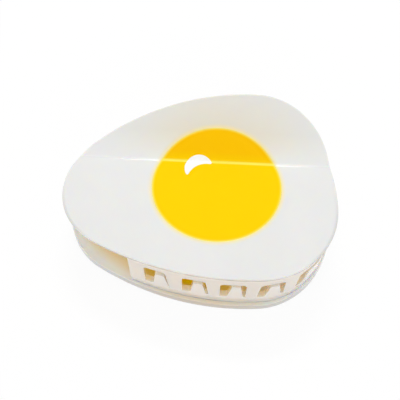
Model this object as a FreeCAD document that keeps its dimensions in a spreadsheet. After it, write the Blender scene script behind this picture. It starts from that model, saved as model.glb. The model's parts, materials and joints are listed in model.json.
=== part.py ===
import FreeCAD, Part
import math
import os

import Sketcher
from FreeCAD import Placement, Rotation, Vector

# Hair claw clip in the form of a halved egg: two bent plates with inlaid yolks,
# toothed combs along their front edges, and a sprung hinge behind the crease.
# Millimetres and degrees. At rest the clip is shut and lies on its lower plate, +Z up.
# A jaw is drawn in its own frame: origin on the crease, X along it, Y to the handle and
# Z outwards, halfway between the square directions of its two flanks.
SIZES = {
    # Egg outline, seen along Z: three corner arcs joined by three long arcs
    "handle_corner_x": 15.9,
    "handle_corner_y": -4.1,
    "handle_corner_radius": 24.4,
    "pointed_end_x": -23.0,
    "pointed_end_y": -11.4,
    "pointed_end_radius": 19.0,
    "front_corner_x": 17.8,
    "front_corner_y": -14.3,
    "front_corner_radius": 24.2,
    "back_side_radius": 85.0,
    "front_side_radius": 96.0,
    "blunt_side_radius": 58.0,
    # Bent sheet
    "sheet_thickness": 2.5,
    "front_slope": 10.5,
    "handle_slope": 31.0,
    "crease_radius": 1.5,
    "crease_height": 7.6,
    "rim_rounding": 0.3,
    "blank_margin": 6.0,
    # Yolk, round on the flat sheet, and the crescent let into it
    "yolk_x": 5.0,
    "yolk_y": -9.2,
    "yolk_radius": 19.9,
    "inlay_gap": 0.02,
    "glint_x": -0.8,
    "glint_y": -2.5,
    "glint_radius": 4.5,
    "glint_hollow_x": 1.7,
    "glint_hollow_y": -6.7,
    "glint_hollow_radius": 6.0,
    "glint_end_radius": 0.45,
    # Combs: their middle is measured from the blunt corner's edge, their right end from its centre
    "comb_inset": 1.15,
    "comb_lean": 3.0,
    "comb_left_x": -20.4,
    "comb_right_y": -10.9,
    "comb_root_thickness": 2.4,
    "comb_tip_thickness": 1.5,
    "comb_rounding": 0.2,
    "slot_top": 5.8,
    "slot_climb": 0.55,
    "slot_rounding": 1.5,
    "tip_rounding": 1.0,
    "tip_reach": 5.2,
    "comb_middle_x": -30.6,
    "middle_slot_width": 7.9,
    "upper_pitch": 11.55,
    "upper_tooth_width": 3.3,
    "wide_tooth_extra": 0.6,
    "tooth_draft": 6.0,
    "lower_pitch": 11.5,
    "lower_tooth_width": 2.7,
    "lower_tooth_shift": 0.85,
    # Hinge
    "pin_radius": 1.3,
    "pin_clearance": 0.05,
    "pin_head_radius": 2.3,
    "pin_head_height": 0.9,
    "pin_head_gap": 0.1,
    "ear_radius": 3.2,
    "ear_thickness": 2.4,
    "ear_foot": 8.0,
    "ear_top": 1.0,
    "ear_gap": 0.3,
    "ear_seat_core": 0.2,
    "ear_rounding": 0.3,
    "inner_ear_x": 6.4,
    # Torsion spring
    "wire_diameter": 1.2,
    "coil_radius": 3.1,
    "coil_turns": 4,
    "coil_gap": 0.6,
    "leg_length": 12.0,
}
UPPER, LOWER = 1, -1
START, END, CENTRE = range(1, 4)
ORIGIN, X_AXIS = (-1, 1), -1
TEETH = 5
TOUCH = 0.01
PROBE_STEP = 0.2

doc = FreeCAD.newDocument("claw_clip")
sheet = doc.addObject("Spreadsheet::Sheet", "sizes")
for row, (alias, number) in enumerate(SIZES.items(), 1):
    sheet.set(f"A{row}", alias)
    sheet.set(f"B{row}", str(number))
    sheet.setAlias(f"B{row}", alias)
doc.recompute()

HALF_BEND = "(sizes.front_slope + sizes.handle_slope) / 2 * 1 deg"
TURN = "(sizes.handle_slope - sizes.front_slope) / 2 * 1 deg"
BLANK_WIDTH = (
    "sizes.pointed_end_radius - sizes.pointed_end_x + sizes.front_corner_x"
    " + sizes.front_corner_radius + 2 * sizes.blank_margin"
)
BLANK_FRONT = "sizes.front_corner_radius - sizes.front_corner_y + sizes.blank_margin"
BLANK_BACK = "sizes.handle_corner_radius + sizes.handle_corner_y + sizes.blank_margin"


def value(expression):
    """The number that an expression on the sheet gives now, in mm or degrees."""
    found = sheet.evalExpression(expression)
    return float(getattr(found, "Value", found))


def size(name):
    return value(f"sizes.{name}")


def spot(name):
    return Vector(size(f"{name}_x"), size(f"{name}_y"), 0)


def bearing(start, end):
    return math.atan2(end.y - start.y, end.x - start.x)


class Outline:
    """A sketch in a body. Its lines and arcs are tied to the sheet as they are drawn.

    With hand LOWER everything is drawn turned over in X.
    """

    def __init__(self, body, name, plane="XY_Plane", hand=UPPER):
        self.hand = hand
        self.ends = {}
        self.sketch = body.newObject("Sketcher::SketchObject", f"{body.Name}_{name}")
        planes = {feature.Role: feature for feature in body.Origin.OriginFeatures}
        self.sketch.AttachmentSupport = [(planes[plane], "")]
        self.sketch.MapMode = "FlatFace"

    def offset(self, path, expression):
        self.sketch.setExpression(f"AttachmentOffset.{path}", expression)

    def line(self, start, end):
        geometry = Part.LineSegment(
            Vector(self.hand * start[0], start[1], 0), Vector(self.hand * end[0], end[1], 0)
        )
        number = self.sketch.addGeometry(geometry)
        self.ends[number] = (START, END)
        return number

    def arc(self, centre, radius, start, end):
        if self.hand == LOWER:
            start, end = math.pi - end, math.pi - start
        circle = Part.Circle(Vector(self.hand * centre[0], centre[1], 0), Vector(0, 0, 1), radius)
        number = self.sketch.addGeometry(Part.ArcOfCircle(circle, start, end))
        self.ends[number] = (START, END) if self.hand == UPPER else (END, START)
        return number

    def circle(self, centre, radius):
        circle = Part.Circle(Vector(self.hand * centre[0], centre[1], 0), Vector(0, 0, 1), radius)
        return self.sketch.addGeometry(circle)

    def rule(self, kind, *where):
        self.sketch.addConstraint(Sketcher.Constraint(kind, *where))

    def tie(self, kind, *where, to):
        """A dimension bound to an expression on the sheet."""
        number = value(to)
        if kind == "Angle":
            number = math.radians(number)
        index = self.sketch.addConstraint(Sketcher.Constraint(kind, *where, number))
        self.sketch.setExpression(f"Constraints[{index}]", to)

    def place(self, geometry, vertex, x=None, y=None):
        if x is not None:
            self.tie("DistanceX", *ORIGIN, geometry, vertex, to=f"{self.hand} * ({x})")
        if y is not None:
            self.tie("DistanceY", *ORIGIN, geometry, vertex, to=y)

    def join(self, kind, first, second, first_end=1, second_end=0):
        """Ties one end of a line or arc to an end of another, as drawn by hand UPPER."""
        self.rule(
            kind, first, self.ends[first][first_end], second, self.ends[second][second_end]
        )

    def rectangle(self, left, bottom, right, top):
        """A rectangle square to the axes, whose four sides are expressions."""
        x0, y0, x1, y1 = (value(side) for side in (left, bottom, right, top))
        corners = [(x0, y0), (x1, y0), (x1, y1), (x0, y1)]
        lines = [self.line(corners[k], corners[(k + 1) % 4]) for k in range(4)]
        for k in range(4):
            self.join("Coincident", lines[k], lines[(k + 1) % 4])
            self.rule("Horizontal" if k % 2 == 0 else "Vertical", lines[k])
        self.place(lines[0], START, left, bottom)
        self.place(lines[2], START, right, top)


def new_body(name, placement):
    body = doc.addObject("PartDesign::Body", name)
    body.Placement = placement
    return body


def extrude(body, outline, kind, length=None):
    """A pad or pocket, to both sides of its sketch, with no length right through."""
    feature = body.newObject(f"PartDesign::{kind}", f"{outline.sketch.Name}_{kind}")
    feature.Profile = outline.sketch
    feature.SideType = "Symmetric"
    if length:
        feature.setExpression("Length", length)
    else:
        feature.Type = "ThroughAll"
    return feature


def round_edges(body, base, wanted, radius):
    """Rounds the edges of the solid so far that the test picks out."""
    doc.recompute()
    names = [f"Edge{n}" for n, edge in enumerate(base.Shape.Edges, 1) if wanted(edge)]
    fillet = body.newObject("PartDesign::Fillet", f"{body.Name}_rounding")
    fillet.Base = (base, names)
    fillet.setExpression("Radius", radius)
    return fillet


def middle_of(edge):
    return edge.valueAt((edge.FirstParameter + edge.LastParameter) / 2)


def is_upright(edge):
    """True for a straight edge along Z."""
    first, last = edge.Vertexes[0].Point, edge.Vertexes[-1].Point
    return math.hypot(last.x - first.x, last.y - first.y) < TOUCH


# Egg outline


def side_centre(first, second, side):
    """Centre of the long arc that touches two corner arcs, the first one first."""
    start, end = spot(first), spot(second)
    reach = end - start
    span = reach.Length
    from_first = size(f"{side}_radius") - size(f"{first}_radius")
    from_second = size(f"{side}_radius") - size(f"{second}_radius")
    along = (from_first**2 - from_second**2 + span**2) / (2 * span)
    across = math.sqrt(from_first**2 - along**2)
    reach.normalize()
    return start + reach * along + Vector(-reach.y, reach.x, 0) * across


CORNERS = ("handle_corner", "pointed_end", "front_corner")
SIDES = ("back_side", "front_side", "blunt_side")
SIDE_CENTRES = [
    side_centre(CORNERS[k], CORNERS[(k + 1) % 3], SIDES[k]) for k in range(3)
]


def egg_arcs():
    """The six arcs counter-clockwise: name, centre, radius, start and end angle."""
    arcs = []
    for k in range(3):
        corner = spot(CORNERS[k])
        following = spot(CORNERS[(k + 1) % 3])
        before, after = SIDE_CENTRES[k - 1], SIDE_CENTRES[k]
        angles = [bearing(before, corner), bearing(after, corner), bearing(after, following)]
        for n in (1, 2):
            while angles[n] < angles[n - 1]:
                angles[n] += 2 * math.pi
        arcs.append((CORNERS[k], corner, size(f"{CORNERS[k]}_radius"), angles[0], angles[1]))
        arcs.append((SIDES[k], after, size(f"{SIDES[k]}_radius"), angles[1], angles[2]))
    return arcs


def egg_reach(direction):
    """How far the outline goes along Y, towards the handle (1) or the front (-1)."""
    reach = 0.0
    for _, centre, radius, start, end in egg_arcs():
        quarter = direction * math.pi / 2
        while quarter < start:
            quarter += 2 * math.pi
        if quarter <= end:
            reach = direction * centre.y + radius
    return reach


def draw_egg(outline):
    drawn = []
    for name, centre, radius, start, end in egg_arcs():
        number = outline.arc(centre, radius, start, end)
        drawn.append(number)
        outline.tie("Radius", number, to=f"sizes.{name}_radius")
        if name in CORNERS:
            outline.place(number, CENTRE, f"sizes.{name}_x", f"sizes.{name}_y")
    for k, number in enumerate(drawn):
        outline.join("Tangent", number, drawn[(k + 1) % len(drawn)])


def draw_yolk(outline, gap):
    """The yolk's circle, foreshortened in Y by the bend; gap widens it to the hole."""
    radius = f"(sizes.yolk_radius + {gap})"
    depth = f"{radius} * cos({HALF_BEND})"
    centre_y = f"sizes.yolk_y * cos({HALF_BEND})"
    centre = Vector(outline.hand * size("yolk_x"), value(centre_y), 0)
    ellipse = outline.sketch.addGeometry(
        Part.Ellipse(
            centre + Vector(value(radius), 0, 0), centre + Vector(0, value(depth), 0), centre
        )
    )
    outline.sketch.exposeInternalGeometry(ellipse)
    long_axis, short_axis = ellipse + 1, ellipse + 2
    outline.rule("Horizontal", long_axis)
    outline.tie("Distance", long_axis, to=f"2 * {radius}")
    outline.tie("Distance", short_axis, to=f"2 * {depth}")
    outline.place(ellipse, CENTRE, "sizes.yolk_x", centre_y)


def draw_glint(outline, gap):
    """A crescent: an outer arc, a hollow arc and two round ends; gap widens it."""
    centre, hollow = spot("glint"), spot("glint_hollow")
    outer = size("glint_radius") + value(gap)
    inner = size("glint_hollow_radius") - value(gap)
    tip = size("glint_end_radius") + value(gap)
    reach = hollow - centre
    span = reach.Length
    reach.normalize()
    along = ((outer - tip) ** 2 - (inner + tip) ** 2 + span**2) / (2 * span)
    across = Vector(-reach.y, reach.x, 0) * math.sqrt((outer - tip) ** 2 - along**2)
    right, left = centre + reach * along + across, centre + reach * along - across
    turn = 2 * math.pi
    from_right, from_left = bearing(centre, right), bearing(centre, left)
    back = outline.arc(centre, outer, from_right, from_left + turn * (from_left < from_right))
    inner_left, inner_right = bearing(hollow, left), bearing(hollow, right)
    front = outline.arc(hollow, inner, inner_right, inner_left + turn * (inner_left < inner_right))
    left_end = outline.arc(left, tip, from_left, inner_left + math.pi)
    right_end = outline.arc(right, tip, inner_right - math.pi, from_right)
    outline.join("Tangent", back, left_end)
    outline.join("Tangent", left_end, front, second_end=1)
    outline.join("Tangent", front, right_end, first_end=0)
    outline.join("Tangent", right_end, back)
    outline.place(back, CENTRE, "sizes.glint_x", "sizes.glint_y")
    outline.place(front, CENTRE, "sizes.glint_hollow_x", "sizes.glint_hollow_y")
    outline.tie("Radius", back, to=f"sizes.glint_radius + {gap}")
    outline.tie("Radius", front, to=f"sizes.glint_hollow_radius - {gap}")
    outline.tie("Radius", left_end, to=f"sizes.glint_end_radius + {gap}")
    outline.tie("Radius", right_end, to=f"sizes.glint_end_radius + {gap}")


# Bent sheet


def draw_bent_strip(outline, near, far):
    """Section of a sheet bent round the crease, between two radii about the bend."""
    half = math.radians(value(HALF_BEND))
    height = f"sizes.crease_radius / cos({HALF_BEND})"
    middle = value(height)
    straight = {}
    arcs = {}
    for name, radius in (("near", value(near)), ("far", value(far))):
        arcs[name] = outline.arc((0, middle), radius, -math.pi / 2 - half, -math.pi / 2 + half)
        outline.place(arcs[name], CENTRE, "0", height)
        for way, reach in ((-1, value(BLANK_FRONT)), (1, value(BLANK_BACK))):
            bend = (way * radius * math.sin(half), middle - radius * math.cos(half))
            end = (way * reach, bend[1] + (reach - abs(bend[0])) * math.tan(half))
            straight[name, way] = outline.line(bend, end)
    for name, radius in (("near", near), ("far", far)):
        outline.tie("Radius", arcs[name], to=radius)
        for way, vertex in ((-1, 0), (1, 1)):
            outline.join("Tangent", arcs[name], straight[name, way], first_end=vertex)
    for way, reach in ((-1, f"-({BLANK_FRONT})"), (1, BLANK_BACK)):
        near_line, far_line = straight["near", way], straight["far", way]
        tips = [outline.sketch.Geometry[line].EndPoint for line in (near_line, far_line)]
        cap = outline.line(tips[0], tips[1])
        outline.join("Coincident", near_line, cap)
        outline.join("Coincident", cap, far_line, second_end=1)
        outline.rule("Vertical", cap)
        outline.place(cap, START, reach)
        angle = HALF_BEND if way == 1 else f"180 deg - {HALF_BEND}"
        outline.tie("Angle", near_line, to=angle)
        outline.rule("Parallel", near_line, far_line)


SHEET_NEAR = "sizes.crease_radius"
SHEET_FAR = "sizes.crease_radius + sizes.sheet_thickness"
INNER_FACE_DROP = f"sizes.sheet_thickness / cos({HALF_BEND})"


def bent_sheet(body):
    section = Outline(body, "section", "YZ_Plane")
    draw_bent_strip(section, SHEET_NEAR, SHEET_FAR)
    return extrude(body, section, "Pad", BLANK_WIDTH)


def below_sheet(point):
    """How far a point lies under the sheet's inner face."""
    half = math.radians(value(HALF_BEND))
    radius = value(SHEET_FAR)
    across = abs(point.y)
    if across > radius * math.sin(half):
        face = across * math.tan(half) - value(INNER_FACE_DROP)
    else:
        face = size("crease_radius") / math.cos(half) - math.sqrt(radius**2 - across**2)
    return face - point.z


def is_seat_edge(edge):
    """True for an edge that lies on the sheet's inner face."""
    points = [vertex.Point for vertex in edge.Vertexes] + [middle_of(edge)]
    return all(below_sheet(point) < TOUCH for point in points)


def draw_frame(outline):
    """A rectangle round the whole blank, so that a pocket keeps what lies inside a shape."""
    half_width = f"({BLANK_WIDTH}) / 2 + sizes.blank_margin"
    outline.rectangle(
        f"-({half_width})",
        f"-({BLANK_FRONT} + sizes.blank_margin)",
        half_width,
        f"{BLANK_BACK} + sizes.blank_margin",
    )


def make_plate(name, hand, placement):
    body = new_body(name, placement)
    bent_sheet(body)
    rim = Outline(body, "rim", hand=hand)
    draw_frame(rim)
    draw_egg(rim)
    trimmed = extrude(body, rim, "Pocket")
    round_edges(body, trimmed, lambda edge: not is_upright(edge), "sizes.rim_rounding")
    hole = Outline(body, "yolk_hole", hand=hand)
    draw_yolk(hole, "sizes.inlay_gap")
    extrude(body, hole, "Pocket")
    return body


def make_yolk(name, hand, placement):
    body = new_body(name, placement)
    bent_sheet(body)
    edge = Outline(body, "edge", hand=hand)
    draw_frame(edge)
    draw_yolk(edge, "0")
    extrude(body, edge, "Pocket")
    hole = Outline(body, "glint_hole", hand=hand)
    draw_glint(hole, "sizes.inlay_gap")
    extrude(body, hole, "Pocket")
    return body


def make_glint(name, hand, placement):
    body = new_body(name, placement)
    bent_sheet(body)
    edge = Outline(body, "edge", hand=hand)
    draw_frame(edge)
    draw_glint(edge, "0")
    extrude(body, edge, "Pocket")
    return body


# Combs


FRONT_REACH = egg_reach(-1)
COMB_ROOT = FRONT_REACH * math.tan(math.radians(value(HALF_BEND))) - value(INNER_FACE_DROP)
COMB_TOP = COMB_ROOT + size("blank_margin")
COMB_BOTTOM = -COMB_TOP
COMB_MIDDLE = "sizes.front_corner_x + sizes.front_corner_radius + sizes.comb_middle_x"
COMB_RIGHT = "sizes.front_corner_y + sizes.comb_right_y"
LEAN = f"sizes.comb_lean * 1 deg + {TURN}"


def draw_comb_strip(outline, thickness):
    """A strip along the front of the egg and round its blunt corner."""
    outer = "sizes.comb_inset"
    inner = f"({outer} + {thickness})"
    front, corner = SIDE_CENTRES[1], spot("front_corner")
    left_x, right_y = size("comb_left_x"), value(COMB_RIGHT)
    meet = bearing(front, corner)
    arcs = {}
    for name, inset in (("outer", value(outer)), ("inner", value(inner))):
        long_radius = size("front_side_radius") - inset
        short_radius = size("front_corner_radius") - inset
        left = -math.acos((left_x - front.x) / long_radius)
        right = math.asin((right_y - corner.y) / short_radius)
        arcs[name] = (
            outline.arc(front, long_radius, left, meet),
            outline.arc(corner, short_radius, meet, right),
        )
        outline.join("Tangent", *arcs[name])
        outline.place(arcs[name][1], CENTRE, "sizes.front_corner_x", "sizes.front_corner_y")
        outline.tie("Radius", arcs[name][1], to=f"sizes.front_corner_radius - {inset}")
    pointed = outline.sketch.addGeometry(
        Part.Point(Vector(outline.hand * size("pointed_end_x"), size("pointed_end_y"), 0)), True
    )
    outline.place(pointed, START, "sizes.pointed_end_x", "sizes.pointed_end_y")
    outline.tie("Radius", arcs["outer"][0], to=f"sizes.front_side_radius - {outer}")
    outline.tie(
        "Distance", arcs["outer"][0], CENTRE, pointed, START,
        to="sizes.front_side_radius - sizes.pointed_end_radius",
    )
    outline.rule("Coincident", arcs["outer"][0], CENTRE, arcs["inner"][0], CENTRE)
    left_end = close_strip(outline, arcs["outer"][0], arcs["inner"][0], 0)
    outline.rule("Vertical", left_end)
    outline.place(left_end, START, x="sizes.comb_left_x")
    right_end = close_strip(outline, arcs["outer"][1], arcs["inner"][1], 1)
    outline.rule("Horizontal", right_end)
    outline.place(right_end, START, y=COMB_RIGHT)


def close_strip(outline, outer, inner, end):
    """A line across a strip, between the same ends of its two arcs."""
    points = []
    for arc in (outer, inner):
        geometry = outline.sketch.Geometry[arc]
        points.append((geometry.StartPoint, geometry.EndPoint)[outline.ends[arc][end] - START])
    line = outline.line(*[(outline.hand * point.x, point.y) for point in points])
    outline.join("Coincident", outer, line, first_end=end, second_end=0)
    outline.join("Coincident", inner, line, first_end=end, second_end=1)
    return line


def tilt(outline, angle, **base):
    """Leans a sketch's plane about X, its top to the handle, and moves it in Y or Z."""
    lean = Rotation(Vector(-1, 0, 0), value(angle))
    outline.sketch.AttachmentOffset = Placement(Vector(0, 0, 0), lean)
    outline.offset("Rotation.Angle", angle)
    for axis, distance in base.items():
        outline.offset(f"Base.{axis}", distance)


def cut_beyond(body, name, angle, outwards, **base):
    """Takes away all that lies beyond a leaning plane."""
    plane = Outline(body, name)
    draw_frame(plane)
    tilt(plane, angle, **base)
    cut = body.newObject("PartDesign::Pocket", f"{body.Name}_{name}_cut")
    cut.Profile = plane.sketch
    cut.Type = "ThroughAll"
    cut.Reversed = outwards
    return cut


LEFT_OF_COMB = "sizes.comb_left_x - sizes.blank_margin"
RIGHT_OF_COMB = "sizes.front_corner_x + sizes.front_corner_radius + sizes.blank_margin"


SLOT_TOP = "sizes.slot_top - sizes.crease_height"


def upper_slots():
    """Left and right side of each slot at the tooth tips, which way each side leans, and its top."""
    middle = "sizes.middle_slot_width / 2"
    left = [f"{COMB_MIDDLE} - {middle} - {k} * sizes.upper_pitch" for k in range(3)]
    right = [f"{COMB_MIDDLE} + {middle} + {k} * sizes.upper_pitch" for k in range(2)]
    second_right = f"{left[0]} - sizes.upper_tooth_width"
    first_right = f"{left[1]} - sizes.upper_tooth_width - sizes.wide_tooth_extra"
    return [
        (left[0], right[0], 0, 0, SLOT_TOP),
        (left[1], second_right, 0, 1, f"{SLOT_TOP} + sizes.slot_climb"),
        (left[2], first_right, 0, 1, f"{SLOT_TOP} + 2 * sizes.slot_climb"),
        (f"{right[0]} + sizes.upper_tooth_width", right[1], -1, 0, SLOT_TOP),
        (f"{right[1]} + sizes.upper_tooth_width", RIGHT_OF_COMB, -1, 0, SLOT_TOP),
    ]


def lower_slots():
    first = f"{COMB_MIDDLE} + sizes.lower_tooth_shift - {TEETH // 2} * sizes.lower_pitch"
    middles = [f"{first} + {k} * sizes.lower_pitch" for k in range(TEETH)]
    lefts = [LEFT_OF_COMB] + [f"{x} + sizes.lower_tooth_width / 2" for x in middles[:-1]]
    rights = [f"{x} - sizes.lower_tooth_width / 2" for x in middles]
    leans = [0] + [-1] * (TEETH - 1)
    return [(left, right, lean, 1, SLOT_TOP) for left, right, lean in zip(lefts, rights, leans)]


def draw_slot(outline, left, right, left_lean, right_lean, top):
    """A slot with round upper corners, from its top down past the tooth tips."""
    bottom = "-(sizes.tip_reach + sizes.crease_height)"
    corner = size("slot_rounding")
    x0, x1, y0, y1 = value(left), value(right), value(bottom), value(top)
    half = math.pi / 2
    left_side = outline.line((x0, y0), (x0, y1 - corner))
    left_corner = outline.arc((x0 + corner, y1 - corner), corner, half, 2 * half)
    ceiling = outline.line((x0 + corner, y1), (x1 - corner, y1))
    right_corner = outline.arc((x1 - corner, y1 - corner), corner, 0, half)
    right_side = outline.line((x1, y1 - corner), (x1, y0))
    floor = outline.line((x1, y0), (x0, y0))
    outline.join("Tangent", left_side, left_corner, second_end=1)
    outline.join("Tangent", left_corner, ceiling, first_end=0)
    outline.join("Tangent", ceiling, right_corner, second_end=1)
    outline.join("Tangent", right_corner, right_side, first_end=0)
    outline.join("Coincident", right_side, floor)
    outline.join("Coincident", floor, left_side)
    outline.rule("Horizontal", ceiling)
    outline.rule("Horizontal", floor)
    outline.place(ceiling, START, y=top)
    outline.place(floor, START, right, bottom)
    outline.place(floor, END, left)
    for arc in (left_corner, right_corner):
        outline.tie("Radius", arc, to="sizes.slot_rounding")
    for side, lean, upward in ((left_side, left_lean, 90), (right_side, right_lean, -90)):
        if lean:
            outline.tie(
                "Angle", side, to=f"({upward} + {outline.hand * lean} * sizes.tooth_draft) * 1 deg"
            )
        else:
            outline.rule("Vertical", side)


def is_tip_corner(edge):
    """True for a straight edge through the wall at the tips of the teeth."""
    turn = math.radians(value(TURN))
    levels = [v.Y * math.sin(turn) + v.Z * math.cos(turn) for v in edge.Vertexes]
    tips = -(size("tip_reach") + size("crease_height"))
    straight = edge.Curve.TypeId == "Part::GeomLine"
    return straight and all(abs(level - tips) < TOUCH for level in levels)


def make_comb(name, hand, slots, placement):
    body = new_body(name, placement)
    slope = math.tan(math.radians(value(LEAN)))
    sections = []
    for level, height, thickness in (
        ("top", COMB_TOP, "sizes.comb_root_thickness"),
        ("bottom", COMB_BOTTOM, "sizes.comb_tip_thickness"),
    ):
        strip = Outline(body, level, hand=hand)
        draw_comb_strip(strip, thickness)
        shift = (height - COMB_ROOT) * slope
        strip.sketch.AttachmentOffset = Placement(Vector(0, shift, height), Rotation())
        sections.append(strip.sketch)
    wall = body.newObject("PartDesign::AdditiveLoft", f"{name}_wall")
    wall.Profile = sections[0]
    wall.Sections = sections[1:]
    wall.Ruled = True
    cut_beyond(body, "seat", HALF_BEND, True, z=f"-{INNER_FACE_DROP}")
    drop = "-(sizes.tip_reach + sizes.crease_height)"
    cut_beyond(
        body, "tips", TURN, False, y=f"{drop} * sin({TURN})", z=f"{drop} * cos({TURN})"
    )
    teeth = Outline(body, "slots", "XZ_Plane", hand)
    for slot in slots:
        draw_slot(teeth, *slot)
    tilt(teeth, TURN)
    cut = extrude(body, teeth, "Pocket")
    blunted = round_edges(body, cut, is_tip_corner, "sizes.tip_rounding")
    round_edges(body, blunted, lambda edge: not is_seat_edge(edge), "sizes.comb_rounding")
    return body


# Hinge


PIN_Y = f"-sizes.crease_height * sin({TURN})"
PIN_Z = f"-sizes.crease_height * cos({TURN})"
OUTER_EAR_X = "sizes.inner_ear_x + sizes.ear_thickness + sizes.ear_gap"


def is_ear_edge(edge):
    """True for an open edge round one cheek of an ear, clear of the seat."""
    first, last = edge.Vertexes[0].Point, edge.Vertexes[-1].Point
    return not edge.isClosed() and abs(last.x - first.x) < TOUCH and not is_seat_edge(edge)


def make_ear(name, x, placement):
    """A lug across the hinge: a foot seated under the bent sheet and a round eye for the pin."""
    body = new_body(name, placement)
    eye = Vector(value(PIN_Y), value(PIN_Z), 0)
    radius = size("ear_radius")
    toe = Vector(eye.x - size("ear_foot"), size("ear_top"), 0)
    touch = bearing(eye, toe) + math.acos(radius / (toe - eye).Length)
    touch_point = eye + Vector(math.cos(touch), math.sin(touch), 0) * radius
    heel = Vector(eye.x + radius, toe.y, 0)
    shape = Outline(body, "shape", "YZ_Plane")
    shape.offset("Base.z", x)
    round_end = shape.arc(eye, radius, touch - 2 * math.pi, 0)
    back = shape.line((heel.x, eye.y), heel)
    top = shape.line(heel, toe)
    front = shape.line(toe, touch_point)
    shape.join("Tangent", round_end, back)
    shape.join("Coincident", back, top)
    shape.join("Coincident", top, front)
    shape.join("Tangent", front, round_end)
    shape.rule("Vertical", back)
    shape.rule("Horizontal", top)
    shape.place(top, END, f"{PIN_Y} - sizes.ear_foot", "sizes.ear_top")
    shape.place(round_end, CENTRE, PIN_Y, PIN_Z)
    shape.tie("Radius", round_end, to="sizes.ear_radius")
    bore = shape.circle(eye, size("pin_radius") + size("pin_clearance"))
    shape.rule("Coincident", bore, CENTRE, round_end, CENTRE)
    shape.tie("Radius", bore, to="sizes.pin_radius + sizes.pin_clearance")
    extrude(body, shape, "Pad", "sizes.ear_thickness")
    seat = Outline(body, "seat", "YZ_Plane")
    draw_bent_strip(seat, "sizes.ear_seat_core", SHEET_FAR)
    cut = extrude(body, seat, "Pocket")
    round_edges(body, cut, is_ear_edge, "sizes.ear_rounding")
    return body


def make_pin(name):
    """A rivet along X: a shank through the four ears and a domed head at each end."""
    body = new_body(name, Placement())
    seat = f"({OUTER_EAR_X} + sizes.ear_thickness / 2 + sizes.pin_head_gap)"
    shank, head = size("pin_radius"), size("pin_head_radius")
    height = size("pin_head_height")
    end = value(seat)
    dome = (head**2 + height**2) / (2 * height)
    spread = math.asin(head / dome)
    profile = Outline(body, "profile", "XY_Plane")
    axis = profile.line((-end - height, 0), (end + height, 0))
    right_dome = profile.arc((end + height - dome, 0), dome, 0, spread)
    right_face = profile.line((end, head), (end, shank))
    side = profile.line((end, shank), (-end, shank))
    left_face = profile.line((-end, shank), (-end, head))
    left_dome = profile.arc((-end - height + dome, 0), dome, math.pi - spread, math.pi)
    chain = [axis, right_dome, right_face, side, left_face, left_dome]
    for k, part in enumerate(chain):
        profile.join("Coincident", part, chain[(k + 1) % len(chain)])
    profile.rule("Horizontal", side)
    for face in (right_face, left_face):
        profile.rule("Vertical", face)
    for arc in (right_dome, left_dome):
        profile.rule("PointOnObject", arc, CENTRE, X_AXIS)
    profile.place(right_face, START, seat, "sizes.pin_head_radius")
    profile.place(left_face, END, f"-{seat}", "sizes.pin_head_radius")
    profile.place(side, START, y="sizes.pin_radius")
    profile.place(axis, START, f"-({seat} + sizes.pin_head_height)", "0")
    profile.place(axis, END, f"{seat} + sizes.pin_head_height", "0")
    turned = body.newObject("PartDesign::Revolution", f"{name}_turned")
    turned.Profile = profile.sketch
    turned.ReferenceAxis = (profile.sketch, ["H_Axis"])
    turned.Angle = 360
    return body


def bow(start, heading, end):
    """The arc that leaves start along heading and ends at end."""
    chord = end - start
    half_turn = heading.getAngle(chord)
    leg = chord.Length / (2 * math.cos(half_turn))
    corner = start + heading * leg
    weight = math.cos(half_turn)
    middle = ((start + end) * 0.5 + corner * weight) * (1 / (1 + weight))
    return Part.Arc(start, middle, end).toShape()


def biarc(start, heading, end, last_heading):
    """Two arcs that join two points, smooth with the headings there and with each other."""
    reach = end - start
    both = heading + last_heading
    square = 2 * (heading.dot(last_heading) - 1)
    across = -2 * reach.dot(both)
    leg = (-across - math.sqrt(across**2 - 4 * square * reach.dot(reach))) / (2 * square)
    if leg < 0:
        leg = (-across + math.sqrt(across**2 - 4 * square * reach.dot(reach))) / (2 * square)
    meet = (start + heading * leg + end - last_heading * leg) * 0.5
    along = end - last_heading * leg - start - heading * leg
    along.normalize()
    return [bow(start, heading, meet), bow(meet, along, end)]


def make_spring(name):
    """A torsion spring about X: a leg along each handle and turns round the pin."""
    radius = size("coil_radius")
    pitch = size("wire_diameter") + size("coil_gap")
    slope = math.radians(size("handle_slope"))
    first = math.pi / 2 + slope
    sweep = 2 * math.pi * size("coil_turns") + math.pi - 2 * slope
    quarters = round(sweep / (math.pi / 2))
    length = pitch * sweep / (2 * math.pi)

    def on_coil(step):
        angle = first + sweep * step / quarters
        x = length * (step / quarters - 0.5)
        return Vector(x, radius * math.cos(angle), radius * math.sin(angle))

    def heading(step):
        angle = first + sweep * step / quarters
        rise = 0 if step in (0, quarters) else pitch / (2 * math.pi)
        way = Vector(rise, -radius * math.sin(angle), radius * math.cos(angle))
        return way.normalize()

    leg = size("leg_length")
    start = on_coil(0) - heading(0) * leg
    end = on_coil(quarters) + heading(quarters) * leg
    edges = [Part.makeLine(start, on_coil(0))]
    for step in range(quarters):
        edges += biarc(on_coil(step), heading(step), on_coil(step + 1), heading(step + 1))
    edges.append(Part.makeLine(on_coil(quarters), end))
    path = Part.Wire(edges)
    wire_radius = size("wire_diameter") / 2
    ring = Part.Wire(Part.makeCircle(wire_radius, start, heading(0)))
    spring = doc.addObject("Part::Feature", name)
    spring.Shape = path.makePipeShell([ring], True)
    expected = math.pi * wire_radius**2 * path.Length
    print(f"spring volume {spring.Shape.Volume:.2f}, wire area times length {expected:.2f}")
    print(f"spring least gap to itself {least_gap(path, radius) - 2 * wire_radius:.3f} mm")
    return spring


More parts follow.
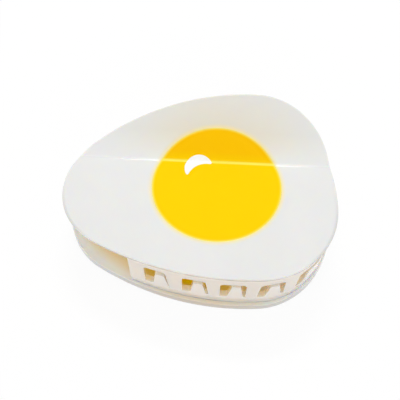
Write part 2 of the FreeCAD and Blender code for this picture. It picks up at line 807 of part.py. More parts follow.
def least_gap(path, radius):
    """Least distance between points of a path that lie half a turn or more apart along it."""
    count = int(path.Length / PROBE_STEP)
    points = path.discretize(Number=count)
    apart = int(math.pi * radius / path.Length * count)
    return min(
        points[a].distanceToPoint(points[b])
        for a in range(count)
        for b in range(a + apart, count)
    )


# Assembly, first in the clip's own frame: hinge pin on X, mid-plane at Z = 0


def jaw_placement(hand):
    upper = Placement(Vector(0, 0, size("crease_height")), Rotation(Vector(1, 0, 0), value(TURN)))
    if hand == UPPER:
        return upper
    return Placement(Vector(0, 0, 0), Rotation(Vector(0, 1, 0), 180)) * upper


def make_jaw(name, hand, slots, ear_x):
    place = jaw_placement(hand)
    make_plate(f"{name}_plate", hand, place)
    make_yolk(f"{name}_yolk", hand, place)
    make_glint(f"{name}_glint", hand, place)
    make_comb(f"{name}_comb", hand, slots, place)
    make_ear(f"{name}_left_ear", f"-{hand} * ({ear_x})", place)
    make_ear(f"{name}_right_ear", f"{hand} * ({ear_x})", place)


def rest_tilt():
    """Angle that levels the line under the lower plate's two outermost rounded edges."""
    half = math.radians(value(HALF_BEND))
    rounding = size("rim_rounding")
    front, back = egg_reach(-1) - rounding, egg_reach(1) - rounding
    return math.degrees(math.atan2((back - front) * math.tan(half), back + front)) + value(TURN)


make_jaw("upper", UPPER, upper_slots(), "sizes.inner_ear_x")
make_jaw("lower", LOWER, lower_slots(), OUTER_EAR_X)
make_pin("hinge_pin")
make_spring("torsion_spring")
doc.recompute()

nodes = [item for item in doc.Objects if item.TypeId in ("PartDesign::Body", "Part::Feature")]
turned = Placement(Vector(0, 0, 0), Rotation(Vector(1, 0, 0), rest_tilt()))
whole = Part.makeCompound([node.Shape for node in nodes])
whole.Placement = turned
box = whole.optimalBoundingBox(False)
rest = Placement(Vector(-box.Center.x, -box.Center.y, -box.ZMin), turned.Rotation)
for node in nodes:
    node.Placement = rest * node.Placement
doc.recompute()

for item in doc.Objects:
    if "Invalid" in item.State or "Error" in item.State:
        raise RuntimeError(f"{item.Label} failed: {item.State}")
for node in nodes:
    if node.Shape.isNull() or not node.Shape.isValid():
        raise RuntimeError(f"{node.Label} has no valid shape")

os.makedirs("parts", exist_ok=True)
for node in nodes:
    node.Shape.exportStep(f"parts/{node.Label}.step")
    print(f"{node.Label}: {len(node.Shape.Solids)} solid, {node.Shape.Volume:.1f} mm3")
pin = rest.multVec(Vector(0, 0, 0))
print(f"pin axis at y {pin.y:.3f}, z {pin.z:.3f}; rest tilt {rest_tilt():.3f} degrees")
print(f"size {box.XLength:.2f} x {box.YLength:.2f} x {box.ZLength:.2f} mm")
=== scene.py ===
import json
import math

import bpy
from mathutils import Matrix, Vector


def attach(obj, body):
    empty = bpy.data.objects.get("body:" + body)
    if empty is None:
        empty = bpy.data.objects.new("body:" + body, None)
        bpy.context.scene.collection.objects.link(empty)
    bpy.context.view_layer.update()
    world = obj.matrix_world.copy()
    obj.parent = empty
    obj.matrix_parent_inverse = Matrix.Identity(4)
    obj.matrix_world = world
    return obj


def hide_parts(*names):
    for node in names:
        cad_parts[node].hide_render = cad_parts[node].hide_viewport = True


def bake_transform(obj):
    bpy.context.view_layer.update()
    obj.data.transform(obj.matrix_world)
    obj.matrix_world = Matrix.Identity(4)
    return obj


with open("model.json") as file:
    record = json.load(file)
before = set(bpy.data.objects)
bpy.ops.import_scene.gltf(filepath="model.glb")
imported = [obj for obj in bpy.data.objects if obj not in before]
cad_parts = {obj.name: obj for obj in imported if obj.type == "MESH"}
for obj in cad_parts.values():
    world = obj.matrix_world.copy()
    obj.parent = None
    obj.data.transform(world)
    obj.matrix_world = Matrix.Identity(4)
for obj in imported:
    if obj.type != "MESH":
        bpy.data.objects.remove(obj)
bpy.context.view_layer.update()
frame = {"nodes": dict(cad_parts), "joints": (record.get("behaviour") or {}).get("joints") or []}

# Hair claw clip in the form of a halved egg, shut and lying on its lower plate.
# In metres and in the frame of the solids, unless a comment says mm.
HINGE = Vector(frame["joints"][0]["pos_m"])
MM = 0.001
PURE_WHITE = (1.0, 1.0, 1.0, 1.0)

# Camera; its lens and sensor are in mm
LENS = 69.3
SENSOR = 36.0
VIEW_AZIMUTH = math.radians(2.49)
VIEW_ELEVATION = math.radians(62.83)
VIEW_ROLL = math.radians(0.52)
VIEW_DISTANCE = 0.24864
VIEW_AIM = Vector((-0.00017, 0.00271, 0.01335))
VIEW_START = 0.01

# Light; a level is what the lamp adds to a white surface that faces it
WORLD_LEVEL = 0.605
KEY_PLACE = Vector((-0.005, 0.25, 0.60))
KEY_SIZE = (0.215, 0.05)
KEY_LEVEL = 0.37
FRONT_PLACE = Vector((0.10, -0.69, 0.44))
FRONT_SIZE = (0.90, 0.24)
FRONT_LEVEL = 0.17

# Light that comes through the upper plate, from flat lamps just under its front; in mm, with the middle
# given along the sheet from the crease
GLOW_DROP = 3.0
YOLK_GLOW = {"middle": (-4.0, -15.0), "size": (20.0, 24.0), "colour": (1.1, 0.88, 0.03)}
PLATE_GLOW = {"middle": (8.0, -16.0), "size": (64.0, 30.0), "colour": (0.36, 0.315, 0.25)}

# Floor: how much light it throws back on the clip, and how much of the white that is seen is its own glow
FLOOR_SIZE = 4.0
FLOOR_GREY = 0.90
FLOOR_GLOW = 0.93

# Jaws, in mm: a jaw's own frame has its origin on the crease, Y to the handle and Z outwards
UPPER, LOWER = 1, -1
FRONT_SLOPE = math.radians(10.5)
HANDLE_SLOPE = math.radians(31.0)
HALF_BEND = (FRONT_SLOPE + HANDLE_SLOPE) / 2
CREASE_TURN = (HANDLE_SLOPE - FRONT_SLOPE) / 2
CREASE_HEIGHT = 7.6
REST_TILT = math.radians(3.431)
SHEET_THICKNESS = 2.5
SHEET_DEPTH = SHEET_THICKNESS / math.cos(HALF_BEND)

# Front of the egg, seen along a jaw's Z, in mm: two corners and the long arc that joins them
POINTED_END = (Vector((-23.0, -11.4)), 19.0)
BLUNT_CORNER = (Vector((17.8, -14.3)), 24.2)
FRONT_SIDE_RADIUS = 96.0

# Yolk, in mm, round on the flat sheet
YOLK_X = 5.0
YOLK_Y = -9.2
YOLK_RADIUS = 19.9

# Where colours change on a jaw, in mm: each pair is the start and the end of a change
# Distance from the yolk's middle: the yolk's pale rim and the halo round it, both a painted glow, the
# warm painted shade behind it and the cream painted shade of the sheet's front rim
RIM_GLOW_RANGE = (YOLK_RADIUS - 0.9, YOLK_RADIUS)
HALO_GLOW_RANGE = (YOLK_RADIUS, YOLK_RADIUS + 1.7)
WARM_SHADE_RANGE = (YOLK_RADIUS, YOLK_RADIUS + 16.0)
CREAM_SHADE_RANGE = (31.0, 39.0)
# How steeply the painted glow of the pale rim and the halo fades
FADE_POWER = 2
# Distance behind the crease: the handle's painted shade, and the painted light strip on the handle
HANDLE_RANGE = (0.0, 3.0)
LIGHT_STRIP_RANGE = (0.0, 9.0)
# Painted highlight line on the crease: distance from the crease, and distance from the line's middle
HIGHLIGHT_RANGE = (0.2, 0.6)
HIGHLIGHT_MIDDLE = Vector((7.0, 0.0))
HIGHLIGHT_REACH = (14.0, 30.0)
# Distance from the egg's front edge: the grey painted shade line on the outer face, and the painted light
# and shade of the inner face
EDGE_SHADE_RANGE = (0.4, 1.0)
INNER_LIGHT_AND_SHADE_RANGE = (1.5, 5.0)
# Where the grey painted shade line shows: along X to both ends, and along Y to the front
EDGE_SHADE_ASIDE = (31.0, 36.0)
EDGE_SHADE_AHEAD = (-8.0, -20.0)
# Inner face: distance from the middle of the painted golden light, and along X to the blunt end, where
# the painted light is paler
GOLD_LIGHT_MIDDLE = Vector((-2.0, -24.0))
GOLD_LIGHT_RANGE = (9.0, 22.0)
PALE_LIGHT_BLUNT_RANGE = (10.0, 22.0)
# Depth in the sheet: from the outer face to the rim, and from the rim to the inner face
RIM_DEPTHS = (0.0, 0.45 * SHEET_DEPTH)
INNER_DEPTHS = (0.9 * SHEET_DEPTH, SHEET_DEPTH)

# Colours; a dark and a light one are the two ends of a material's clouds or marks
WHITE_DARK, WHITE_LIGHT = (0.80, 0.80, 0.785), (0.84, 0.84, 0.83)
# Painted light and shade on the white sheet's outer face: warm shade on the handle by the yolk, a light
# strip and a highlight along the crease, a yellow glow round the yolk and grey shade on the end edges
WHITE_WARM_SHADE = (0.81, 0.775, 0.675)
WHITE_STRIP_LIGHT = (0.885, 0.885, 0.865)
WHITE_HIGHLIGHT = (1.0, 1.0, 0.98)
WHITE_HALO_GLOW = (1.0, 0.83, 0.38)
WHITE_EDGE_SHADE = (0.71, 0.71, 0.70)
# Painted shade on the sheet's rim, and painted light and shade on its inner face: light along the edge,
# cream shade, paler light at the blunt end and golden light in front of the yolk
RIM_GREY_SHADE = (0.76, 0.76, 0.75)
RIM_CREAM_SHADE = (0.76, 0.66, 0.55)
INNER_EDGE_LIGHT = (0.98, 0.97, 0.95)
INNER_EDGE_CREAM_SHADE = (0.94, 0.81, 0.65)
INNER_CREAM_SHADE = (0.88, 0.76, 0.55)
INNER_PALE_LIGHT = (0.95, 0.89, 0.83)
INNER_GOLD_LIGHT = (0.82, 0.66, 0.0)
YOLK_DARK, YOLK_LIGHT = (0.99, 0.63, 0.0), (1.0, 0.66, 0.0)
# Painted on the yolk: orange shade on the handle, a highlight along the crease and a pale glow at its rim
YOLK_ORANGE_SHADE = (1.0, 0.56, 0.0)
YOLK_HIGHLIGHT = (1.0, 0.83, 0.10)
YOLK_RIM_GLOW = (1.0, 0.85, 0.17)
GLINT_DARK, GLINT_LIGHT = (0.96, 0.96, 0.95), (0.99, 0.99, 0.99)
CREAM_DARK, CREAM_LIGHT = (0.79, 0.735, 0.67), (0.83, 0.775, 0.71)
STEEL_DARK, STEEL_LIGHT = (0.50, 0.50, 0.52), (0.64, 0.64, 0.66)

# Finish: clouds and marks in bumps per mm, with their detail; depths and reliefs in mm
NOISE_RANGE = (0.3, 0.7)
WHITE_CLOUDS = {"scale": 0.06, "detail": 3.0}
YOLK_CLOUDS = {"scale": 0.08, "detail": 3.0}
GLINT_CLOUDS = {"scale": 0.3, "detail": 2.0}
CREAM_CLOUDS = {"scale": 0.1, "detail": 3.0}
POLISH_MARKS = {"scale": 1.2, "detail": 4.0, "along": (0.15, 1.0, 1.0)}
POLISH_ROUGHNESS = (0.06, 0.12)
POLISH_WAVES = {"scale": 0.35, "detail": 1.0}
POLISH_RELIEF = 0.01
PIN_MARKS = {"scale": 6.0, "detail": 3.0, "along": (0.1, 1.0, 1.0)}
WIRE_MARKS = {"scale": 6.0, "detail": 3.0, "along": (1.0, 0.3, 0.3)}
STEEL_ROUGHNESS = (0.20, 0.38)
STEEL_RELIEF = 0.01
SHEET_GLOSS = 0.25
YOLK_GLOSS = 0.05
SHEET_MILK = 0.2
CREAM_MILK = 4.0
MILK_RADIUS = (1.0, 0.8, 0.55)

# Torsion spring
WIRE_RADIUS = 0.6 * MM
COIL_RADIUS = 3.1 * MM
COIL_TURNS = 4
COIL_PITCH = 1.8 * MM
LEG_LENGTH = 12.0 * MM
STEPS_PER_TURN = 48
WIRE_SIDES = 14
TIP_RINGS = 4
# Part of a ring's step that stays flat at each tip
TIP_FLAT = 0.5


def jaw_frame(hand):
    """Places a jaw's own frame in the frame of the solids."""
    flip = Matrix.Rotation(math.pi if hand == LOWER else 0.0, 4, "Y")
    crease = Matrix.Translation((0, 0, CREASE_HEIGHT * MM)) @ Matrix.Rotation(CREASE_TURN, 4, "X")
    return Matrix.Translation(HINGE) @ Matrix.Rotation(REST_TILT, 4, "X") @ flip @ crease


def front_side_centre():
    """Centre of the long arc that touches both front corners of the egg."""
    (pointed, pointed_radius), (blunt, blunt_radius) = POINTED_END, BLUNT_CORNER
    apart = blunt - pointed
    left, right = FRONT_SIDE_RADIUS - pointed_radius, FRONT_SIDE_RADIUS - blunt_radius
    along = (left**2 - right**2 + apart.length_squared) / (2 * apart.length)
    across = math.sqrt(left**2 - along**2)
    way = apart.normalized()
    return pointed + way * along + Vector((-way.y, way.x)) * across


# Materials


class Surface:
    """A material made of nodes, with short ways to add and join them."""

    def __init__(self, name):
        self.material = bpy.data.materials.new(name)
        self.material.use_nodes = True
        self.tree = self.material.node_tree
        self.shader = self.tree.nodes["Principled BSDF"]
        self.place = self.tree.nodes.new("ShaderNodeTexCoord").outputs["Object"]

    def set(self, **values):
        """Gives the shader's inputs values that are the same all over."""
        for name, value in values.items():
            self.shader.inputs[name.replace("_", " ")].default_value = value

    def node(self, kind, **settings):
        """A new node with its settings."""
        node = self.tree.nodes.new(f"ShaderNode{kind}")
        for name, setting in settings.items():
            setattr(node, name, setting)
        return node

    def join(self, output, target):
        """Links an output to an input."""
        self.tree.links.new(output, target)

    def stretch(self, scale):
        """The object's own coordinates, in mm, drawn out by a factor along each axis."""
        mapping = self.node("Mapping")
        mapping.inputs["Scale"].default_value = [factor / MM for factor in scale]
        self.join(self.place, mapping.inputs["Vector"])
        return mapping.outputs["Vector"]

    def within(self, matrix):
        """The coordinates, in mm, in the frame that a matrix places."""
        mapping = self.node("Mapping", vector_type="TEXTURE")
        mapping.inputs["Location"].default_value = matrix.translation
        mapping.inputs["Rotation"].default_value = matrix.to_euler()
        mapping.inputs["Scale"].default_value = (MM, MM, MM)
        self.join(self.place, mapping.inputs["Vector"])
        return mapping.outputs["Vector"]

    def vector(self, operation, source, fixed=(0, 0, 0)):
        """The outputs of a sum on an output and a fixed vector."""
        node = self.node("VectorMath", operation=operation)
        node.inputs[1].default_value = fixed
        self.join(source, node.inputs[0])
        return node.outputs

    def sums(self, operation, *terms):
        """A sum whose terms are numbers or outputs."""
        node = self.node("Math", operation=operation)
        for term, socket in zip(terms, node.inputs):
            if isinstance(term, (int, float)):
                socket.default_value = term
            else:
                self.join(term, socket)
        return node.outputs["Value"]

    def noise(self, scale, detail, along=(1, 1, 1)):
        """Noise from 0 to 1; scale is in bumps per mm."""
        noise = self.node("TexNoise")
        noise.inputs["Scale"].default_value = scale
        noise.inputs["Detail"].default_value = detail
        self.join(self.stretch(along), noise.inputs["Vector"])
        return noise.outputs["Fac"]

    def remap(self, source, low, high, start=0.0, end=1.0):
        """From low at the start of a range of an output to high at its end."""
        remap = self.node("MapRange")
        remap.inputs["From Min"].default_value = start
        remap.inputs["From Max"].default_value = end
        remap.inputs["To Min"].default_value = low
        remap.inputs["To Max"].default_value = high
        self.join(source, remap.inputs["Value"])
        return remap.outputs["Result"]

    def rise(self, source, start, end):
        """From 0 at the start of a range of an output to 1 at its end."""
        return self.remap(source, 0.0, 1.0, start, end)

    def fade(self, source, start, end):
        """From 1 at the start of a range of an output to 0 at its end."""
        return self.remap(source, 1.0, 0.0, start, end)

    def mix(self, factor, first, second):
        """Two colours, each fixed or an output, mixed by an output from 0 to 1."""
        mix = self.node("Mix", data_type="RGBA")
        self.join(factor, mix.inputs["Factor"])
        for name, colour in (("A", first), ("B", second)):
            socket = [item for item in mix.inputs if item.name == name and item.type == "RGBA"][0]
            if isinstance(colour, tuple):
                socket.default_value = (*colour, 1)
            else:
                self.join(colour, socket)
        return [item for item in mix.outputs if item.type == "RGBA"][0]

    def bump(self, height, distance):
        """A small relief; distance is in mm."""
        bump = self.node("Bump")
        bump.inputs["Distance"].default_value = distance * MM
        self.join(height, bump.inputs["Height"])
        self.join(bump.outputs["Normal"], self.shader.inputs["Normal"])

    def colour(self, output):
        """Gives the shader its colour."""
        self.join(output, self.shader.inputs["Base Color"])

    def roughness(self, output):
        """Gives the shader its roughness."""
        self.join(output, self.shader.inputs["Roughness"])


class JawPlace:
    """Where a point of a jaw lies, in mm, in the jaw's own frame."""

    def __init__(self, surface, hand):
        self.surface, self.hand = surface, hand
        self.place = surface.within(jaw_frame(hand))
        split = surface.node("SeparateXYZ")
        surface.join(self.place, split.inputs["Vector"])
        self.x, self.y, self.z = (split.outputs[axis] for axis in "XYZ")

    def out_from(self, centre):
        """The place, measured from an upright line; the lower jaw has its mirror image."""
        return self.surface.vector("SUBTRACT", self.place, (self.hand * centre.x, centre.y, 0))["Vector"]

    def apart(self, centre, stretch=1.0):
        """Distance from an upright line, with lengths along Y drawn out by a factor."""
        level = self.surface.vector("MULTIPLY", self.out_from(centre), (1, stretch, 0))["Vector"]
        return self.surface.vector("LENGTH", level)["Value"]

    def from_yolk(self):
        """Distance from the yolk's middle along the flat sheet."""
        squeeze = math.cos(HALF_BEND)
        return self.apart(Vector((YOLK_X, YOLK_Y * squeeze)), 1 / squeeze)

    def from_crease(self):
        """Distance from the crease along Y."""
        return self.surface.sums("ABSOLUTE", self.y)

    def from_edge(self):
        """Distance from the egg's front edge."""
        sums = self.surface.sums
        middle = front_side_centre()
        inside = sums("SUBTRACT", FRONT_SIDE_RADIUS, self.apart(middle))
        for (centre, radius), way in ((POINTED_END, -1), (BLUNT_CORNER, 1)):
            ray = (centre - middle).normalized()
            across = (-way * self.hand * ray.y, way * ray.x, 0)
            sideways = self.surface.vector("DOT_PRODUCT", self.out_from(centre), across)["Value"]
            in_corner = sums("GREATER_THAN", sideways, 0.0)
            change = sums("SUBTRACT", sums("SUBTRACT", radius, self.apart(centre)), inside)
            inside = sums("MULTIPLY_ADD", in_corner, change, inside)
        return inside

    def depth(self):
        """Depth below the outer face."""
        face = self.surface.sums("MULTIPLY", self.from_crease(), math.tan(HALF_BEND))
        return self.surface.sums("SUBTRACT", face, self.z)

    def on_handle(self):
        """0 on the front, 1 on the handle."""
        return self.surface.rise(self.y, *HANDLE_RANGE)

    def on_light_strip(self):
        """Mask of the painted light strip: 1 just behind the crease, fading out along the handle, and 0
        on the front.
        """
        behind = self.surface.sums("GREATER_THAN", self.y, 0.0)
        return self.surface.sums("MULTIPLY", self.surface.fade(self.y, *LIGHT_STRIP_RANGE), behind)

    def on_highlight(self):
        """Mask of the painted highlight: 1 on the line of the crease, 0 on both sides of it."""
        return self.surface.fade(self.from_crease(), *HIGHLIGHT_RANGE)

    def at_ends(self):
        """Mask of the painted edge shade: 1 at both ends of the egg's front, fading towards its middle
        and the crease.
        """
        aside = self.surface.rise(self.surface.sums("ABSOLUTE", self.x), *EDGE_SHADE_ASIDE)
        ahead = self.surface.rise(self.y, *EDGE_SHADE_AHEAD)
        return self.surface.sums("MULTIPLY", aside, ahead)

    def at_blunt_end(self):
        """0 in the middle, 1 at the egg's blunt end."""
        return self.surface.rise(self.x, *(self.hand * x for x in PALE_LIGHT_BLUNT_RANGE))


def polished(surface):
    """Polishing marks and a faint unevenness, as on tumbled acetate."""
    marks = surface.noise(**POLISH_MARKS)
    surface.roughness(surface.remap(marks, *POLISH_ROUGHNESS, *NOISE_RANGE))
    surface.bump(surface.noise(**POLISH_WAVES), POLISH_RELIEF)


def milky(surface, depth):
    """Light that wanders up to depth mm inside, further for red than for blue."""
    surface.set(Subsurface_Weight=1.0, Subsurface_Scale=depth * MM, Subsurface_Radius=MILK_RADIUS)


def outer_light_and_shade(surface, place, apart, edge):
    """Painted light and shade: warm shade on the handle behind the yolk, a light strip and a highlight
    line along the crease, a yellow glow round the yolk, grey shade on the end edges.
    """
    white = surface.mix(surface.noise(**WHITE_CLOUDS), WHITE_DARK, WHITE_LIGHT)
    # beside: mask of the warm painted shade on the handle near the yolk
    beside = surface.sums("MULTIPLY", surface.fade(apart, *WARM_SHADE_RANGE), place.on_handle())
    warm_shaded = surface.mix(beside, white, WHITE_WARM_SHADE)
    light_strip = surface.mix(place.on_light_strip(), warm_shaded, WHITE_STRIP_LIGHT)
    highlight_reach = surface.fade(place.apart(HIGHLIGHT_MIDDLE), *HIGHLIGHT_REACH)
    highlighted = surface.mix(surface.sums("MULTIPLY", place.on_highlight(), highlight_reach), light_strip, WHITE_HIGHLIGHT)
    halo_glow = surface.sums("POWER", surface.fade(apart, *HALO_GLOW_RANGE), FADE_POWER)
    with_halo_glow = surface.mix(halo_glow, highlighted, WHITE_HALO_GLOW)
    edge_shade = surface.sums("MULTIPLY", surface.fade(edge, *EDGE_SHADE_RANGE), place.at_ends())
    return surface.mix(edge_shade, with_halo_glow, WHITE_EDGE_SHADE)


def inner_light_and_shade(surface, place, front, edge):
    """Painted light and shade: golden light in front of the yolk and cream shade elsewhere, paler light
    at the blunt end, lighter along the edge.
    """
    # cream: painted cream shade inside, with paler painted light towards the blunt end
    cream = surface.mix(place.at_blunt_end(), INNER_CREAM_SHADE, INNER_PALE_LIGHT)
    gold_light = surface.fade(place.apart(GOLD_LIGHT_MIDDLE), *GOLD_LIGHT_RANGE)
    inner_light = surface.mix(gold_light, cream, INNER_GOLD_LIGHT)
    # clear: painted light along the inner edge, turning to cream painted shade near the yolk
    clear = surface.mix(front, INNER_EDGE_LIGHT, INNER_EDGE_CREAM_SHADE)
    return surface.mix(surface.rise(edge, *INNER_LIGHT_AND_SHADE_RANGE), clear, inner_light)


def white_acetate(name, hand):
    """Milky white sheet, with painted light and shade on its faces and a rim in painted shade, grey at
    the ends and cream in front.
    """
    surface = Surface(name)
    place = JawPlace(surface, hand)
    apart, edge, depth = place.from_yolk(), place.from_edge(), place.depth()
    # front: mask of the cream painted shade near the yolk; rim: the rim's painted shade, grey at the ends
    # and cream in front
    front = surface.fade(apart, *CREAM_SHADE_RANGE)
    rim = surface.mix(front, RIM_GREY_SHADE, RIM_CREAM_SHADE)
    side = surface.mix(surface.rise(depth, *RIM_DEPTHS), outer_light_and_shade(surface, place, apart, edge), rim)
    inside = inner_light_and_shade(surface, place, front, edge)
    surface.colour(surface.mix(surface.rise(depth, *INNER_DEPTHS), side, inside))
    surface.set(Specular_IOR_Level=SHEET_GLOSS)
    milky(surface, SHEET_MILK)
    polished(surface)
    return surface.material


def yellow_acetate(name, hand):
    """Clear deep yellow, with painted shade that makes it more orange on the handle, a painted pale glow
    at the rim and a painted highlight along the crease.
    """
    surface = Surface(name)
    place = JawPlace(surface, hand)
    yellow = surface.mix(surface.noise(**YOLK_CLOUDS), YOLK_DARK, YOLK_LIGHT)
    body = surface.mix(place.on_handle(), yellow, YOLK_ORANGE_SHADE)
    highlighted = surface.mix(place.on_highlight(), body, YOLK_HIGHLIGHT)
    # rim: mask of the painted pale glow at the yolk's edge
    rim = surface.sums("POWER", surface.rise(place.from_yolk(), *RIM_GLOW_RANGE), FADE_POWER)
    surface.colour(surface.mix(rim, highlighted, YOLK_RIM_GLOW))
    surface.set(Specular_IOR_Level=YOLK_GLOSS)
    polished(surface)
    return surface.material


def glint_white():
    """Nearly pure white."""
    surface = Surface("glint_white")
    surface.colour(surface.mix(surface.noise(**GLINT_CLOUDS), GLINT_DARK, GLINT_LIGHT))
    polished(surface)
    return surface.material


def cream_acetate():
    """Milky cream that light wanders deep into, for the combs and the ears."""
    surface = Surface("cream_acetate")
    surface.colour(surface.mix(surface.noise(**CREAM_CLOUDS), CREAM_DARK, CREAM_LIGHT))
    milky(surface, CREAM_MILK)
    polished(surface)
    return surface.material


def steel(name, texture):
    """Bright steel, with drawing or turning marks along its length."""
    surface = Surface(name)
    marks = surface.noise(**texture)
    surface.colour(surface.mix(marks, STEEL_DARK, STEEL_LIGHT))
    surface.roughness(surface.remap(marks, *STEEL_ROUGHNESS, *NOISE_RANGE))
    surface.set(Metallic=1.0)
    surface.bump(marks, STEEL_RELIEF)
    return surface.material


# Spring


def spring_path():
    """Points along the wire, and the coil's length.

    The wire is a leg on the upper handle, the coil and a leg on the lower handle.
    """
    first = math.pi / 2 + HANDLE_SLOPE
    sweep = 2 * math.pi * COIL_TURNS + math.pi - 2 * HANDLE_SLOPE
    steps = round(STEPS_PER_TURN * sweep / (2 * math.pi))
    length = COIL_PITCH * sweep / (2 * math.pi)
    coil = []
    for step in range(steps + 1):
        share = step / steps
        angle = first + sweep * share
        coil.append(Vector((
            length * (share - 0.5),
            COIL_RADIUS * math.cos(angle),
            COIL_RADIUS * math.sin(angle),
        )))
    upper = Vector((0, math.cos(HANDLE_SLOPE), math.sin(HANDLE_SLOPE)))
    lower = Vector((0, math.cos(HANDLE_SLOPE), -math.sin(HANDLE_SLOPE)))
    path = [coil[0] + upper * LEG_LENGTH] + coil + [coil[-1] + lower * LEG_LENGTH]
    tilt = Matrix.Rotation(REST_TILT, 3, "X")
    return [tilt @ point + HINGE for point in path], length


def wire_rings(path, radius):
    """The wire's rings, with a dome at each tip: each ring's middle, heading, side and radius."""
    headings = []
    for k in range(len(path)):
        before, after = path[max(k - 1, 0)], path[min(k + 1, len(path) - 1)]
        headings.append((after - before).normalized())
    side = headings[0].orthogonal().normalized()
    rings = []
    for point, heading in zip(path, headings):
        side = (side - heading * side.dot(heading)).normalized()
        rings.append((point, heading, side, radius))
    tips = []
    for (point, heading, side, _), way in ((rings[0], -1), (rings[-1], 1)):
        dome = []
        for n in range(1, TIP_RINGS + 1):
            angle = math.pi / 2 * n / (TIP_RINGS + TIP_FLAT)
            middle = point + heading * (way * radius * math.sin(angle))
            dome.append((middle, heading, side, radius * math.cos(angle)))
        tips.append(dome)
    return tips[0][::-1] + rings + tips[1]


def tube(name, rings):
    """A round wire through its rings."""
    points = []
    for middle, heading, side, radius in rings:
        across = heading.cross(side)
        for n in range(WIRE_SIDES):
            angle = 2 * math.pi * n / WIRE_SIDES
            points.append(middle + (side * math.cos(angle) + across * math.sin(angle)) * radius)
    faces = []
    for row in range(len(rings) - 1):
        for n in range(WIRE_SIDES):
            here, beside = row * WIRE_SIDES + n, row * WIRE_SIDES + (n + 1) % WIRE_SIDES
            faces.append((here, beside, beside + WIRE_SIDES, here + WIRE_SIDES))
    faces.append(tuple(reversed(range(WIRE_SIDES))))
    faces.append(tuple(range(len(points) - WIRE_SIDES, len(points))))
    mesh = bpy.data.meshes.new(name)
    mesh.from_pydata(points, [], faces)
    mesh.shade_smooth()
    piece = bpy.data.objects.new(name, mesh)
    bpy.context.scene.collection.objects.link(piece)
    return piece


def add_spring(material):
    """The spring's wire, which twists between the two jaws."""
    path, length = spring_path()
    spring = tube("spring_wire", wire_rings(path, WIRE_RADIUS))
    spring.data.materials.append(material)
    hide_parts("torsion_spring")
    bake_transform(spring)


# Stage


def add_camera():
    """The photograph's point of view."""
    back = Vector((
        math.sin(VIEW_AZIMUTH) * math.cos(VIEW_ELEVATION),
        -math.cos(VIEW_AZIMUTH) * math.cos(VIEW_ELEVATION),
        math.sin(VIEW_ELEVATION),
    ))
    data = bpy.data.cameras.new("camera")
    data.lens = LENS
    data.sensor_width = SENSOR
    data.clip_start = VIEW_START
    camera = bpy.data.objects.new("camera", data)
    upright = (-back).to_track_quat("-Z", "Y").to_matrix()
    turned = upright @ Matrix.Rotation(VIEW_ROLL, 3, "Z")
    camera.matrix_world = Matrix.Translation(VIEW_AIM + back * VIEW_DISTANCE) @ turned.to_4x4()
    bpy.context.scene.collection.objects.link(camera)
    bpy.context.scene.camera = camera


def add_lamp(name, shape, size, energy, matrix):
    """A flat lamp that the camera doesn't see."""
    data = bpy.data.lights.new(name, "AREA")
    data.shape = shape
    data.size, data.size_y = size
    data.energy = energy
    lamp = bpy.data.objects.new(name, data)
    lamp.matrix_world = matrix
    lamp.visible_camera = False
    bpy.context.scene.collection.objects.link(lamp)
    return lamp


def add_softbox(name, place, size, level):
    """A rectangular lamp that faces the clip."""
    energy = level * math.pi**2 * place.length_squared
    turn = (-place).to_track_quat("-Z", "Y").to_matrix().to_4x4()
    add_lamp(name, "RECTANGLE", size, energy, Matrix.Translation(place) @ turn)


def add_glow(name, middle, size, colour):
    """Light that the upper plate lets through to the inside; it rides with that jaw.

    The lamp is as bright as a white surface at level 1, times its colour.
    """
    length, width = (side * MM for side in size)
    energy = math.pi * (math.pi / 4 * length * width)
    flank = Matrix.Rotation(-HALF_BEND, 4, "X")
    place = Matrix.Translation(Vector((*middle, -GLOW_DROP)) * MM)
    lamp = add_lamp(name, "ELLIPSE", (length, width), energy, jaw_frame(UPPER) @ flank @ place)
    lamp.data.color = colour
    lamp.visible_glossy = False
    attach(lamp, "upper_jaw")


def seen(tree):
    """1 for what the camera sees, straight, in a reflection or through something clear."""
    path = tree.nodes.new("ShaderNodeLightPath")
    total = path.outputs["Is Camera Ray"]
    for kind in ("Is Glossy Ray", "Is Transmission Ray"):
        either = tree.nodes.new("ShaderNodeMath")
        either.operation = "MAXIMUM"
        tree.links.new(total, either.inputs[0])
        tree.links.new(path.outputs[kind], either.inputs[1])
        total = either.outputs["Value"]
    return total


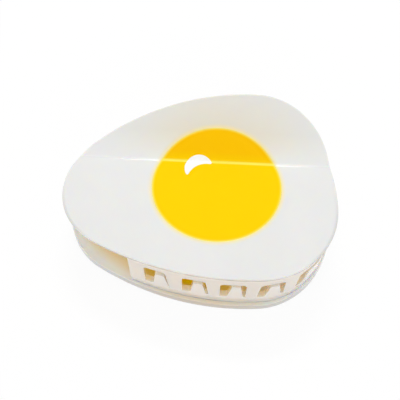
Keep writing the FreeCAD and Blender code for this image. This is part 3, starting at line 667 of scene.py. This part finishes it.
def add_world():
    """White where it is seen, and dimmer as a light."""
    world = bpy.data.worlds.new("world")
    world.use_nodes = True
    tree = world.node_tree
    background = tree.nodes["Background"]
    background.inputs["Color"].default_value = PURE_WHITE
    strength = tree.nodes.new("ShaderNodeMapRange")
    strength.inputs["To Min"].default_value = WORLD_LEVEL
    strength.inputs["To Max"].default_value = 1.0
    tree.links.new(seen(tree), strength.inputs["Value"])
    tree.links.new(strength.outputs["Result"], background.inputs["Strength"])
    bpy.context.scene.world = world


def add_floor():
    """A floor that is nearly white where it is seen and still takes the clip's shadow."""
    half = FLOOR_SIZE / 2
    corners = [(-half, -half, 0), (half, -half, 0), (half, half, 0), (-half, half, 0)]
    mesh = bpy.data.meshes.new("floor")
    mesh.from_pydata(corners, [], [(0, 1, 2, 3)])
    floor = bpy.data.objects.new("floor", mesh)
    bpy.context.scene.collection.objects.link(floor)
    surface = Surface("floor_white")
    shown = seen(surface.tree)
    surface.set(Roughness=1.0, Specular_IOR_Level=0.0, Emission_Color=PURE_WHITE)
    surface.colour(surface.mix(shown, (FLOOR_GREY,) * 3, (1 - FLOOR_GLOW,) * 3))
    surface.join(surface.remap(shown, 0.0, FLOOR_GLOW), surface.shader.inputs["Emission Strength"])
    mesh.materials.append(surface.material)


def dress(node, material):
    """Gives a solid its material."""
    mesh = frame["nodes"][node].data
    mesh.materials.clear()
    mesh.materials.append(material)


bpy.context.scene.view_settings.view_transform = "Standard"
add_camera()
add_softbox("key", KEY_PLACE, KEY_SIZE, KEY_LEVEL)
add_softbox("front", FRONT_PLACE, FRONT_SIZE, FRONT_LEVEL)
add_glow("yolk_glow", **YOLK_GLOW)
add_glow("plate_glow", **PLATE_GLOW)
add_world()
add_floor()

glint, cream = glint_white(), cream_acetate()
for jaw, hand in (("upper", UPPER), ("lower", LOWER)):
    dress(f"{jaw}_plate", white_acetate(f"{jaw}_white_acetate", hand))
    dress(f"{jaw}_yolk", yellow_acetate(f"{jaw}_yellow_acetate", hand))
    dress(f"{jaw}_glint", glint)
    for piece in ("comb", "left_ear", "right_ear"):
        dress(f"{jaw}_{piece}", cream)
dress("hinge_pin", steel("steel", PIN_MARKS))
add_spring(steel("spring_steel", WIRE_MARKS))
